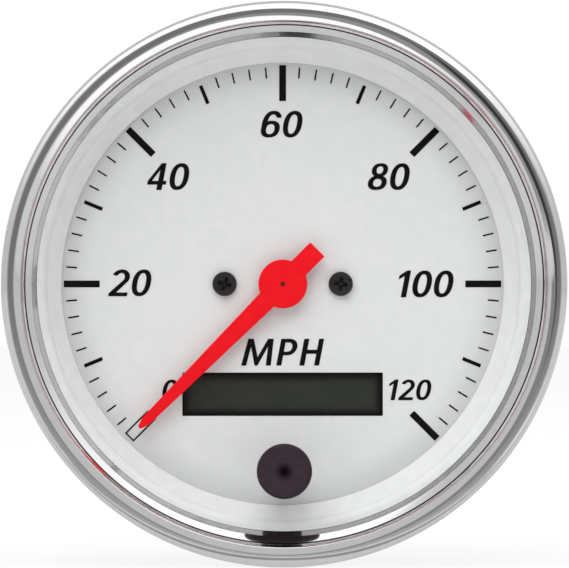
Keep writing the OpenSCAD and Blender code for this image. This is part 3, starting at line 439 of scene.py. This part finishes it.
def turning(start, given):
    """A section of (radius, depth) turned about the axis, its depth along +Y."""
    circle = start.node("GeometryNodeCurvePrimitiveCircle", None,
                        {"Resolution": given["Steps"], "Radius": given["Path Radius"]})
    section = start.node("GeometryNodeTransform", None, {
        "Geometry": start.node("GeometryNodeMeshToCurve", None, {"Mesh": given["Geometry"]}),
        "Translation": start.node("ShaderNodeCombineXYZ", None, {"X": 0.0 - given["Path Radius"]})})
    swept = start.node("GeometryNodeCurveToMesh", None, {"Curve": circle, "Profile Curve": section})
    return start.node("GeometryNodeTransform", None, {"Geometry": swept, "Rotation": (math.pi / 2, 0, 0)})


screw_tree, start, given = new_tree("Crosshead screws", {
    "Steps": "Int", "Path Radius": "Float", "Wing": "Float", "Slot": "Float", "Depth": "Float",
    "Pitch X": "Float", "Pitch Z": "Float", "Rows": "Int", "Facing": "Float", "Turn": "Float", "Seed": "Int",
    "Finish": "Material"})
blank = start.node("GeometryNodeMergeByDistance", None, {
    "Geometry": turning(start, given), "Distance": 0.002 * MM})
taper = start.node("GeometryNodeMeshCone", None, {
    "Vertices": 4, "Radius Top": 0.3, "Radius Bottom": 0.75, "Depth": 1.0})
squared = start.node("GeometryNodeTransform", None, {
    "Geometry": taper, "Translation": (0, 0, -0.08), "Rotation": (0, 0, math.pi / 4)})
wing = start.node("GeometryNodeTransform", None, {
    "Geometry": squared, "Scale": start.node("ShaderNodeCombineXYZ", None, {
        "X": given["Wing"], "Y": given["Slot"], "Z": given["Depth"]})})
wings = [start.node("GeometryNodeTransform", None, {"Geometry": wing, "Rotation": (-math.pi / 2, quarter, 0)})
         for quarter in (0, math.pi / 2)]
pressed = blank
for pressing in wings:
    pressed = start.node("GeometryNodeMeshBoolean", {"operation": "DIFFERENCE", "solver": "EXACT"},
                         {"Mesh 1": pressed, "Mesh 2": pressing})
places = start.node("GeometryNodeTransform", None, {
    "Geometry": start.node("GeometryNodeMeshGrid", None, {
        "Size X": given["Pitch X"], "Size Y": given["Pitch Z"],
        "Vertices X": 2, "Vertices Y": given["Rows"]}),
    "Rotation": (math.pi / 2, 0, 0)})
chance = start.node("FunctionNodeRandomValue", None, {2: 0.0, 3: 0.28, "Seed": given["Seed"]}, out=1)
end_tree(start.node("GeometryNodeInstanceOnPoints", None, {
    "Points": places, "Instance": pressed,
    "Rotation": start.node("ShaderNodeCombineXYZ", None, {
        "Y": given["Turn"] + chance, "Z": given["Facing"]})}), given["Finish"])


def screw_section(head_r, head_h, shank_r, length):
    """Half a pan-head screw, from the middle of its face to the end of its shank."""
    crown, tip = head_h * 0.45, 0.35 * shank_r
    return [(0, 0)] + arc((head_r - crown, crown), crown, -90, 0, 10) + [
        (head_r, head_h), (shank_r, head_h), (shank_r, length - tip), (shank_r - tip, length), (0, length)]


SLOT_SHARE, DEPTH_SHARE = 0.26, 0.42

black_oxide = grained("black oxide steel", [(0.008, 0.006, 0.008), (0.02, 0.015, 0.019)], [0.26, 0.4],
                      0.15, 0.004, {"Metallic": 0.35, "Specular IOR Level": 0.6})
zinc_plate = grained("zinc plate", [(0.48, 0.49, 0.5), (0.62, 0.63, 0.64)], [0.26, 0.42], 0.3, 0.004,
                     {"Metallic": 1.0})
for name, node, finish, slot, section, face, facing, wing_w, pitch_x, pitch_z, rows, cross_turn in (
        ("dial_crossheads", "dial_screws", black_oxide, "black_screw", screw_section(2.0, 1.3, 1.0, 10.3),
         0.7, 0, 2.25, 19.05, 0, 1, 0.1),
        ("board_crossheads", "display_screws", drawn_steel, "steel", screw_section(1.9, 1.2, 1.0, 6.2),
         12.9, math.pi, 2.8, 37.8, 0, 1, 0.3),
        ("case_crossheads", "case_screws", zinc_plate, "zinc_steel", screw_section(2.8, 1.8, 1.4, 26.8),
         52.8, math.pi, 4.2, 60, 40, 2, 0.1)):
    mesh = grown(screw_tree, {
        "Steps": 48, "Path Radius": 10 * MM, "Wing": wing_w * MM, "Slot": wing_w * SLOT_SHARE * MM,
        "Depth": wing_w * DEPTH_SHARE * MM, "Pitch X": pitch_x * MM, "Pitch Z": pitch_z * MM, "Rows": rows,
        "Facing": facing, "Turn": cross_turn, "Seed": 4, "Finish": finish},
        outline_mesh(section, closed=False), 30)
    low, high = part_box(node)
    mesh.transform(Matrix.Translation((0, face * MM, (low.z + high.z) / 2)))
    put(name, mesh, finish, "gauge", [node])

# Pointer: punched from thin sheet with its edge eased, sprayed fluorescent red and pressed on the
# spindle, whose end shows as a dark dot in the hub. It rests on the zero stop at the lower left.
pointer_red = grained("fluorescent red paint", [(0.78, 0.004, 0.01), (0.84, 0.007, 0.014)], [0.5, 0.6],
                      0.3, 0.003, {"Specular IOR Level": 0.06})
smooth_copy("pointer_blade", "pointer", pointer_red, "pointer_assembly", 0.12)

# Spacer ring: milky white plastic between the glass and the dial. It lights the dial's edge from the
# lamps behind it. Its front lip is rounded, and its inside slopes down to an upright edge on the dial.
RING_STEPS = 240

turning_tree, start, given = new_tree("Turned ring", {
    "Steps": "Int", "Path Radius": "Float", "Finish": "Material"})
end_tree(turning(start, given), given["Finish"])


def turned(section, steps, finish, centre_z=0.0, closed=True, angle=35):
    """A piece turned about an axis along Y at this height in mm, from its section of (radius, depth)."""
    mesh = grown(turning_tree, {"Steps": steps, "Path Radius": 20 * MM, "Finish": finish},
                 outline_mesh(section, closed), angle)
    mesh.transform(Matrix.Translation((0, 0, centre_z * MM)))
    return mesh


ring_plastic = Finish("milky ring plastic", {
    "Subsurface Weight": 0.1, "Subsurface Radius": (0.002, 0.002, 0.002), "Specular IOR Level": 0.35})
place = ring_plastic.place()
cloud = ring_plastic.grain(2.0, place)
ring_plastic = ring_plastic.feed(
    Base_Color=ring_plastic.between(cloud, (0.74, 0.74, 0.745), (0.78, 0.78, 0.78)),
    Roughness=0.3 + 0.08 * cloud, Normal=ring_plastic.relief(ring_plastic.grain(0.8, place), 0.002))
ring_section = [(41.6, 1.85), (41.6, -2.35), (41.45, -2.5)] + arc((39.9, -1.2), 1.3, -90, -172, 16) + \
    [(36.42, 0.7), (36.3, 0.85), (36.3, 2.0), (41.45, 2.0)]
put("milky_ring", turned(ring_section, RING_STEPS, ring_plastic), ring_plastic, "gauge",
    ["spacer_ring"])

# Glass: a flat disc with ground edges and a hole for the button, held between the bezel and the
# gasket. It shows only as a faint gloss at a slant.
clear_glass = Finish("clear glass", {"Base Color": (0.02, 0.025, 0.022, 1), "Coat Weight": 0.5})
smears = clear_glass.grain(9.0, clear_glass.place())
clear_glass.feed(Roughness=0.02 + 0.05 * smears)
slant = clear_glass.node("ShaderNodeLayerWeight", None, {"Blend": 0.3}, out=1)
see_through = clear_glass.node("ShaderNodeBsdfTransparent", None, {"Color": (0.985, 0.99, 0.988, 1)})
mirrored = clear_glass.node("ShaderNodeBsdfGlossy", None, {"Roughness": 0.03})
clear_glass.surface(see_through, mirrored, 0.006 + (0.5 + 0.1 * smears) * slant * slant)
coat("lens", clear_glass.material)

# Bezel: a ring of sheet steel rolled over the flange of the case and chromed. From outside in it has a
# round bead, a crease, a slope in two parts to its inner edge, and behind that edge a wall that presses
# on the glass. The crease, and less so the inner edge, are darkened with painted shade.
BEZEL_STEPS = 288
BEAD = (44.1, -10.8)
CREASE, INNER_EDGE = (42.2, -10.8), (40.2, -8.73)

chrome = Finish("polished chrome", {"Metallic": 1.0})
place = chrome.place()
from_axis = chrome.node("ShaderNodeVectorMath", {"operation": "LENGTH"}, {
    0: chrome.node("ShaderNodeVectorMath", {"operation": "MULTIPLY"}, {0: place, 1: (1, 0, 1)})}, out=1)
_, inwards, _ = chrome.axes(place)
to_crease, to_edge = (chrome.math("SQRT", (from_axis - r) * (from_axis - r) + (inwards - y) * (inwards - y))
                      for r, y in (CREASE, INNER_EDGE))
plated = chrome.between(chrome.grain(1.5, place), (0.77, 0.775, 0.785), (0.8, 0.8, 0.805))
# Painted shade: the chrome's colour goes dark in the crease and part way dark along the inner edge.
clear_of_painted_shade = chrome.math("MINIMUM", to_crease.step(0.15, 0.32), 0.3 + 0.7 * to_edge.step(0.05, 0.17))
chrome.feed(Base_Color=chrome.between(clear_of_painted_shade, (0.03, 0.026, 0.03), plated),
            Roughness=0.035 + 0.03 * chrome.grain(6.0, place),
            Normal=chrome.relief(chrome.grain(4.0, place), 0.0012))
bezel_section = [(40.5, -4.8), (40.2, -8.728), (40.95, -9.621), (41.0, -9.681), (41.05, -9.728)] + \
    arc(BEAD, 1.9, 180, 360, 40) + \
    arc((45.2, -0.8), 0.8, 0, 90, 8) + [(43.5, 0), (43.5, -1), (45.2, -1)] + \
    arc(BEAD, 1.1, 0, -180, 20) + [(43.0, -9.706), (42.2, -9.706), (41.3, -8.728), (41.3, -4.8)]
bezel = put("rolled_bezel", turned(bezel_section, BEZEL_STEPS, chrome.material), chrome.material,
            "gauge", ["bezel"])
# The light that the chrome would throw on the dial is only specks of noise, so it is left out.
bezel.visible_diffuse = False

# Trip button: a round black head with a shallow dish in its face. Its neck passes through the glass,
# and its stem through the dial to the switch. A steel clip holds it in, and a light spring brings it
# back.
BUTTON_Z = -30.4

button_plastic = Finish("button plastic", {"Specular IOR Level": 0.22})
place = button_plastic.place(centre=(0, 0, BUTTON_Z))
across_face = button_plastic.node("ShaderNodeVectorMath", {"operation": "MULTIPLY"}, {0: place, 1: (1, 0, 1)})
# Painted reflection: the middle of the dish is painted near-black, for the dark surround in front that the
# dish would mirror.
painted_reflection_mask = 1 - button_plastic.node("ShaderNodeVectorMath", {"operation": "LENGTH"}, {0: across_face},
                                      out=1).step(0.1, 1.9)
cloud = button_plastic.grain(0.9, place)
fine = button_plastic.grain(0.08, button_plastic.place())
button_plastic.feed(
    Base_Color=button_plastic.between(cloud, (0.022, 0.012, 0.018), (0.03, 0.018, 0.024)),
    Roughness=0.46 + 0.1 * cloud, Normal=button_plastic.relief(fine, 0.006))
painted_dark_reflection = button_plastic.node("ShaderNodeBsdfDiffuse", None, {"Color": (0.002, 0.0005, 0.0016, 1)})
button_plastic.surface(button_plastic.plain, painted_dark_reflection, painted_reflection_mask * 0.95)
button_section = [(r, -11.45 - r * r / 80) for r in [0.4 * i for i in range(11)]] + \
    arc((3.8, -11.0), 0.7, -71, 0, 10) + [(4.5, -10.3), (4.3, -10.1), (2.4, -10.1), (2.4, -0.8), (1.6, -0.8),
                                          (1.6, 5.7), (1.4, 5.9), (0, 5.9)]
put("dished_button", turned(button_section, 96, button_plastic.material, BUTTON_Z, False),
    button_plastic.material, "button_assembly", ["trip_button"])
spring_steel = grained("spring steel", [(0.42, 0.42, 0.43), (0.52, 0.52, 0.53)], [0.2, 0.3], 0.1, 0.001,
                       {"Metallic": 1.0})
smooth_copy("clip_washer", "stem_clip", spring_steel, "button_assembly", 0.06)
smooth_copy("plunger_pin", "switch_plunger", black_plastic, "button_assembly", 0.15)

spring_tree, start, given = new_tree("Coil spring", {
    "Turns": "Float", "Radius": "Float", "Wire": "Float", "Length": "Float", "Points": "Int",
    "Finish": "Material"})
helix = start.node("GeometryNodeCurveSpiral", None, {
    "Resolution": given["Points"], "Rotations": given["Turns"], "Start Radius": given["Radius"],
    "End Radius": given["Radius"], "Height": given["Length"]})
coiled = start.node("GeometryNodeCurveToMesh", None, {
    "Curve": helix, "Profile Curve": start.node("GeometryNodeCurvePrimitiveCircle", None, {
        "Resolution": 12, "Radius": given["Wire"]}), "Fill Caps": True})
end_tree(start.node("GeometryNodeTransform", None, {"Geometry": coiled, "Rotation": (-math.pi / 2, 0, 0)}),
         given["Finish"])
mesh = grown(spring_tree, {
    "Turns": 3.0, "Radius": 2.15 * MM, "Wire": 0.18 * MM, "Length": 2.4 * MM, "Points": 48,
    "Finish": spring_steel}, angle=80)
mesh.transform(Matrix.Translation((0, -0.6 * MM, BUTTON_Z * MM)))
spring = put("return_spring", mesh, spring_steel, "gauge", ["trip_spring"])
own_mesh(spring)

# Lamps: two wedge lamps in black moulded holders, which twist a quarter turn into the back of the
# case and light the ring through windows in the boards.
bulb_glass = Finish("lamp glass", {"Base Color": (0.95, 0.9, 0.78, 1), "Roughness": 0.05})
bulb_glass.feed(Alpha=0.3 + 0.5 * bulb_glass.node("ShaderNodeLayerWeight", None, {"Blend": 0.4}, out=1)
                + 0.1 * bulb_glass.grain(1.5, bulb_glass.place()))
for side in ("left", "right"):
    smooth_copy(side + "_twist_holder", side + "_lamp_holder", black_plastic, side + "_lamp",
                0.3)
    smooth_copy(side + "_lamp_glass", side + "_bulb", bulb_glass.material, side + "_lamp")

# Terminals: five tinned brass blades pressed through a black moulded block on the case's back, with a
# hole in each for the socket's catch.
tinned_brass = grained("tinned brass", [(0.6, 0.58, 0.52), (0.72, 0.7, 0.65)], [0.22, 0.38], 0.35, 0.003,
                       {"Metallic": 1.0})
smooth_copy("moulded_block", "terminal_block", black_plastic, "gauge", 0.3)
smooth_copy("push_on_blades", "blade_terminals", tinned_brass, "gauge", 0.08)

# Mounting: two threaded studs stand out of the case. A steel strap bears on the panel round the case
# and is drawn up by two brass nuts over split washers.
STUD_X = 19.05

thread_tree, start, given = new_tree("Threaded stud", {
    "Radius": "Float", "Pitch": "Float", "Turns": "Float", "Points": "Int", "Finish": "Material"})
depth = given["Pitch"] * 0.56
ridge_path = start.node("GeometryNodeCurveSpiral", None, {
    "Resolution": given["Points"], "Rotations": given["Turns"], "Start Radius": given["Radius"] - depth,
    "End Radius": given["Radius"] - depth, "Height": given["Pitch"] * given["Turns"]})
upright = start.node("GeometryNodeSetCurveNormal", {"mode": "Z_UP"}, {"Curve": ridge_path})
crest_out = start.node("GeometryNodeTransform", None, {
    "Geometry": start.node("GeometryNodeCurvePrimitiveCircle", None, {"Resolution": 3, "Radius": depth}),
    "Rotation": (0, 0, math.pi)})
ridge = start.node("GeometryNodeCurveToMesh", None, {
    "Curve": upright, "Profile Curve": crest_out, "Fill Caps": True})
end_tree(start.node("GeometryNodeTransform", None, {"Geometry": ridge, "Rotation": (-math.pi / 2, 0, 0)}),
         given["Finish"])

PITCH = 25.4 / 32
studs = bmesh.new()
shank = [(0, 48.2), (4.0, 48.2), (4.0, 50.2), (2.3, 50.2), (2.3, 51.6), (2.0, 51.9), (2.0, 75.5),
         (1.6, 76.0), (0, 76.0)]
for side in (-1, 1):
    ridge = grown(thread_tree, {"Radius": 2.41 * MM, "Pitch": PITCH * MM, "Turns": 29.0, "Points": 40,
                                "Finish": zinc_plate}, angle=30)
    ridge.transform(Matrix.Translation((0, 52.3 * MM, 0)))
    for part in (turned(shank, 48, zinc_plate, 0, False), ridge):
        part.transform(Matrix.Translation((side * STUD_X * MM, 0, 0)))
        studs.from_mesh(part)
mesh = bpy.data.meshes.new("studs")
studs.to_mesh(mesh)
studs.free()
put("threaded_studs", mesh, zinc_plate, "gauge", ["mounting_studs"])
strap_steel = grained("zinc-plated strap", [(0.44, 0.45, 0.46), (0.6, 0.61, 0.62)], [0.26, 0.42], 0.25, 0.004,
                      {"Metallic": 1.0}, (0.15, 1, 1))
smooth_copy("bent_strap", "clamp_bracket", strap_steel, "clamp", 0.2)
smooth_copy("split_washers", "lock_washers", zinc_plate, "clamp", 0.12)


def hex_nut(across_flats, height, bore, front, x):
    """A chamfered hexagon nut with its axis along Y."""
    form = bmesh.new()
    rings = []
    face_r = across_flats / 2 * 0.97
    for degrees in range(0, 360, 5):
        corner = across_flats / 2 / math.cos(math.radians(degrees % 60 - 30))
        drop = (corner - face_r) * math.tan(math.radians(30))
        profile = [(bore, 0.4), (bore + 0.35, 0), (face_r, 0), (corner, drop), (corner, height - drop),
                   (face_r, height), (bore + 0.35, height), (bore, height - 0.4)]
        a = math.radians(degrees)
        rings.append([form.verts.new(((x + r * math.cos(a)) * MM, (front + y) * MM, r * math.sin(a) * MM))
                      for r, y in profile])
    for ring, following in zip(rings, rings[1:] + rings[:1]):
        for i in range(len(ring)):
            k = (i + 1) % len(ring)
            form.faces.new((ring[i], ring[k], following[k], following[i]))
    bmesh.ops.recalc_face_normals(form, faces=form.faces)
    mesh = bpy.data.meshes.new("nut")
    form.to_mesh(mesh)
    form.free()
    edge_shading(mesh, 20)
    return mesh


for side, x in (("left", -STUD_X), ("right", STUD_X)):
    nut = hex_nut(across_flats=9.5, height=3.2, bore=2.463, front=62.7, x=x)
    put(side + "_brass_nut", nut, turned_brass, side + "_clamp_nut", [side + "_nut"])

# Studio: a plain pale floor just under the bezel, a white surround, and soft light from above and to
# the left of the dial. Shiny pieces see a grey surround that is darker in front, where the camera
# stands, and a floor with painted shadow in stretches before and under the bezel.
FLOOR_Z = -46.2


def ray(wire, kind):
    """1 for rays of this kind, 0 for the others."""
    return wire.node("ShaderNodeLightPath", out="Is " + kind + " Ray")


def on_strip(finish, sideways, inwards, left_slant=0.0):
    """1 on the bright stretch before the bezel, 0 beyond its slanting far end."""
    skewed = inwards + 2.3 * finish.math("MAXIMUM", sideways + 23, 0) + \
        4.3 * finish.math("MAXIMUM", sideways - 4, 0)
    return (skewed + left_slant * finish.math("MAXIMUM", -23 - sideways, 0)).step(-108, -84)


bpy.ops.mesh.primitive_plane_add(size=6, location=(0, 0, FLOOR_Z * MM))
floor = bpy.context.object
floor.name = "floor"
paper = Finish("floor paper", {"Roughness": 0.9, "Specular IOR Level": 0.1})
fibre = paper.grain(0.8, paper.place())
paper.feed(Base_Color=paper.between(fibre, (0.84, 0.84, 0.84), (0.87, 0.87, 0.87)))
shown = paper.math("MAXIMUM", ray(paper, "Camera"), ray(paper, "Transmission"))
mirrored = ray(paper, "Glossy")
sideways, inwards, _ = paper.axes(paper.place())
aside = paper.math("ABSOLUTE", sideways)
# Painted light and shade, seen only in reflections: the floor is brighter on a strip before the bezel than
# beyond it, and two bands under and just before the bezel are darkened as painted shadow.
far = (1 - on_strip(paper, sideways, inwards, left_slant=0.5)) * (1 - aside.step(120, 300))
under = inwards.step(-18, -16.5) * (1 - inwards.step(-14.4, -13.6)) + \
    inwards.step(-38, -33) * (1 - inwards.step(-25.5, -22)) * (1 - aside.step(45, 60))
white_with_painted_shade = paper.node("ShaderNodeEmission", None, {
    "Strength": 1 - mirrored * (0.38 + 0.5 * far + 0.45 * under)})
paper.surface(paper.plain, white_with_painted_shade, paper.math("MAXIMUM", shown * 0.9, mirrored * 0.8))
floor.data.materials.append(paper.material)

world = bpy.data.worlds.new("studio")
bpy.context.scene.world = world
world.use_nodes = True
sky = Wire(world.node_tree)
direction = sky.node("ShaderNodeTexCoord", out="Generated")


def facing(towards):
    """How nearly a direction points the given way: 1 straight at it, 0 square to it."""
    return sky.node("ShaderNodeVectorMath", {"operation": "DOT_PRODUCT"},
                    {0: direction, 1: Vector(towards).normalized()}, out=1)


dark_front = facing((-0.32, -1, -0.15)).step(0.86, 0.92)
studio = 0.62 - 0.35 * dark_front
glossy = ray(sky, "Glossy")
white = sky.math("MAXIMUM", ray(sky, "Camera"), ray(sky, "Transmission"))
soft_fill = 0.55
strength = white + (1 - white) * (glossy * studio + (1 - glossy) * soft_fill)
world.node_tree.links.new(strength.socket, world.node_tree.nodes["Background"].inputs["Strength"])
world.node_tree.nodes["Background"].inputs["Color"].default_value = (1, 1, 1, 1)


def soft_light(name, place, aim, width, height, power):
    """A soft box, which neither the camera nor shiny pieces see."""
    lamp = bpy.data.lights.new(name, "AREA")
    lamp.shape, lamp.size, lamp.size_y, lamp.energy = "RECTANGLE", width, height, power
    box = bpy.data.objects.new(name, lamp)
    bpy.context.scene.collection.objects.link(box)
    box.location = place
    box.rotation_euler = (Vector(aim) - Vector(place)).to_track_quat("-Z", "Y").to_euler()
    box.visible_camera = box.visible_transmission = box.visible_glossy = False


soft_light("key", (-0.25, -0.75, 1.1), (0, 0, 0), 1.7, 1.3, 20)
soft_light("back", (0.4, 0.9, 0.9), (0, 0.03, 0), 0.8, 0.8, 5)

# Cards: a white band over the bezel, a white strip in front of it and a dark ring round it, which only
# shiny pieces see. The white ones light the chrome. The ring draws the dark line along the bead's crest,
# and its inner edge is darkest at the upper right.


def card(name, mesh):
    """Hangs a card. Returns its material and a place's three coordinates on it in mm."""
    hung = bpy.data.objects.new(name, mesh)
    bpy.context.scene.collection.objects.link(hung)
    face = Finish(name, {})
    mesh.materials.clear()
    mesh.materials.append(face.material)
    for rays in ("camera", "diffuse", "transmission", "shadow"):
        setattr(hung, "visible_" + rays, False)
    return face, *face.axes(face.place())


def lit(face, glow, shown):
    """Gives a card its brightness, and lets it fade out where shown falls to 0."""
    face.surface(face.node("ShaderNodeBsdfTransparent"),
                 face.node("ShaderNodeEmission", None, {"Strength": glow}), shown)


def strip(x, y, height):
    """A flat level sheet, from its ranges in mm."""
    mesh = bpy.data.meshes.new("strip")
    mesh.from_pydata([(a * MM, b * MM, height * MM) for a, b in (
        (x[0], y[0]), (x[1], y[0]), (x[1], y[1]), (x[0], y[1]))], [], [(0, 1, 2, 3)])
    return mesh


face, sideways, inwards, upwards = card("upper card", turned([(58, -34), (58, -9)], 96, None, closed=False))
lit(face, 1.3, upwards.step(8, 52) * (inwards + 0.25 * face.math("MAXIMUM", sideways, -40)).step(-31, -26))
face, sideways, inwards, _ = card("lower card", strip((-80, 140), (-310, -15), -45.5))
lit(face, 1.25, sideways.step(-52, -14) * (1 - sideways.step(42, 120)) *
    (1 - inwards.step(-36, -24)) * on_strip(face, sideways, inwards))
face, sideways, _, upwards = card("dark card", turned([(36, -30), (85, -30)], 96, None, closed=False))
spread = face.math("SQRT", sideways * sideways + upwards * upwards)
dusk = sideways.step(18.5, 26) * upwards.step(-24, 0) * (1 - spread.step(46, 49)) * \
    (spread + 0.4 * face.math("MAXIMUM", upwards, 0)).step(41.5, 43.5)
lit(face, 0.2 + 0.2 * (1 - upwards.step(-50, 10)) - 0.15 * dusk,
    (1 - spread.step(58, 82)) * face.math("MAXIMUM", spread.step(44.6, 45), dusk))

# Camera: close to square on, a little to the left and above, far enough away for a flat view.
CAMERA_LEFT, CAMERA_UP, CAMERA_DISTANCE = 1.3, 0.2, 1.2

lens = bpy.data.cameras.new("camera")
lens.lens, lens.sensor_width = 467.6, 36
camera = bpy.data.objects.new("camera", lens)
bpy.context.scene.collection.objects.link(camera)
aim = Vector((0.00002, -0.0108, 0.00003))
left, up = math.radians(CAMERA_LEFT), math.radians(CAMERA_UP)
camera.location = aim + CAMERA_DISTANCE * Vector((
    -math.sin(left) * math.cos(up), -math.cos(left) * math.cos(up), math.sin(up)))
camera.rotation_euler = (aim - camera.location).to_track_quat("-Z", "Y").to_euler()
bpy.context.scene.camera = camera
bpy.context.scene.view_settings.view_transform = "Standard"
